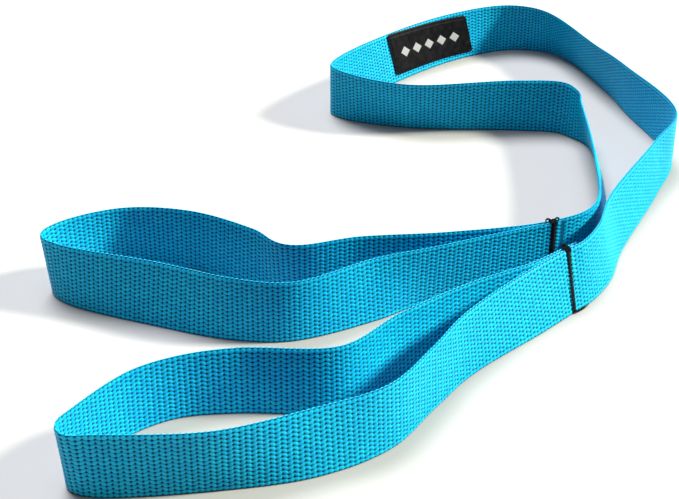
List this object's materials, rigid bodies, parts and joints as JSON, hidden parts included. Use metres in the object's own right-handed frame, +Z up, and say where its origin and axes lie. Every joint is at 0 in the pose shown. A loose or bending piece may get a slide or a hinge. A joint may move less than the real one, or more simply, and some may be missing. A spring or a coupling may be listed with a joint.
{
  "type": "stretching strap",
  "caption": "Webbing stretching strap standing on its edge, with a sewn foot loop at each end, a woven label and an open curved middle.",
  "frame": {"origin": "middle of the base of the laid-out strap, on the surface that its lower edge rests on", "axes": "+Z up from the resting edge; +Y from the foot loops towards the far bend; +X from the loops' round ends towards their seams"},
  "size_m": [0.3956, 0.5511, 0.0391],
  "materials": {
    "webbing": "woven, slightly glossy yarn",
    "thread": "bonded sewing thread, satin",
    "label": "woven satin, matt"
  },
  "bodies": {
    "label_span": {"label_span_webbing": "webbing", "label": "label", "label_stitching": "thread"},
    "far_span": {"far_span_webbing": "webbing"},
    "front_arm": {"front_arm_webbing": "webbing"},
    "front_loop": {"front_loop_webbing": "webbing", "front_seam_thread": "thread"},
    "rear_arm": {"rear_arm_webbing": "webbing"},
    "rear_lead": {"rear_lead_webbing": "webbing"},
    "rear_loop": {"rear_loop_webbing": "webbing", "rear_seam_thread": "thread"}
  },
  "joints": [
    {"name": "far_span_bend", "type": "hinge", "parent": "label_span", "child": "far_span", "pos_m": [0.107, 0.274, 0], "axis": [0, 0, 1], "range_deg": [0, 35]},
    {"name": "front_arm_bend", "type": "hinge", "parent": "far_span", "child": "front_arm", "pos_m": [0.197, 0.075, 0], "axis": [0, 0, 1], "range_deg": [0, 35]},
    {"name": "front_loop_bend", "type": "hinge", "parent": "front_arm", "child": "front_loop", "pos_m": [0.12558, -0.07885, 0], "axis": [0, 0, 1], "range_deg": [-10, 25]},
    {"name": "rear_arm_bend", "type": "hinge", "parent": "label_span", "child": "rear_arm", "pos_m": [-0.034, 0.155, 0], "axis": [0, 0, 1], "range_deg": [-35, 0]},
    {"name": "rear_lead_bend", "type": "hinge", "parent": "rear_arm", "child": "rear_lead", "pos_m": [0.135, 0.112, 0], "axis": [0, 0, 1], "range_deg": [-35, 0]},
    {"name": "rear_loop_bend", "type": "hinge", "parent": "rear_lead", "child": "rear_loop", "pos_m": [0.121, -0.057, 0], "axis": [0, 0, 1], "range_deg": [-30, 5]}
  ]
}
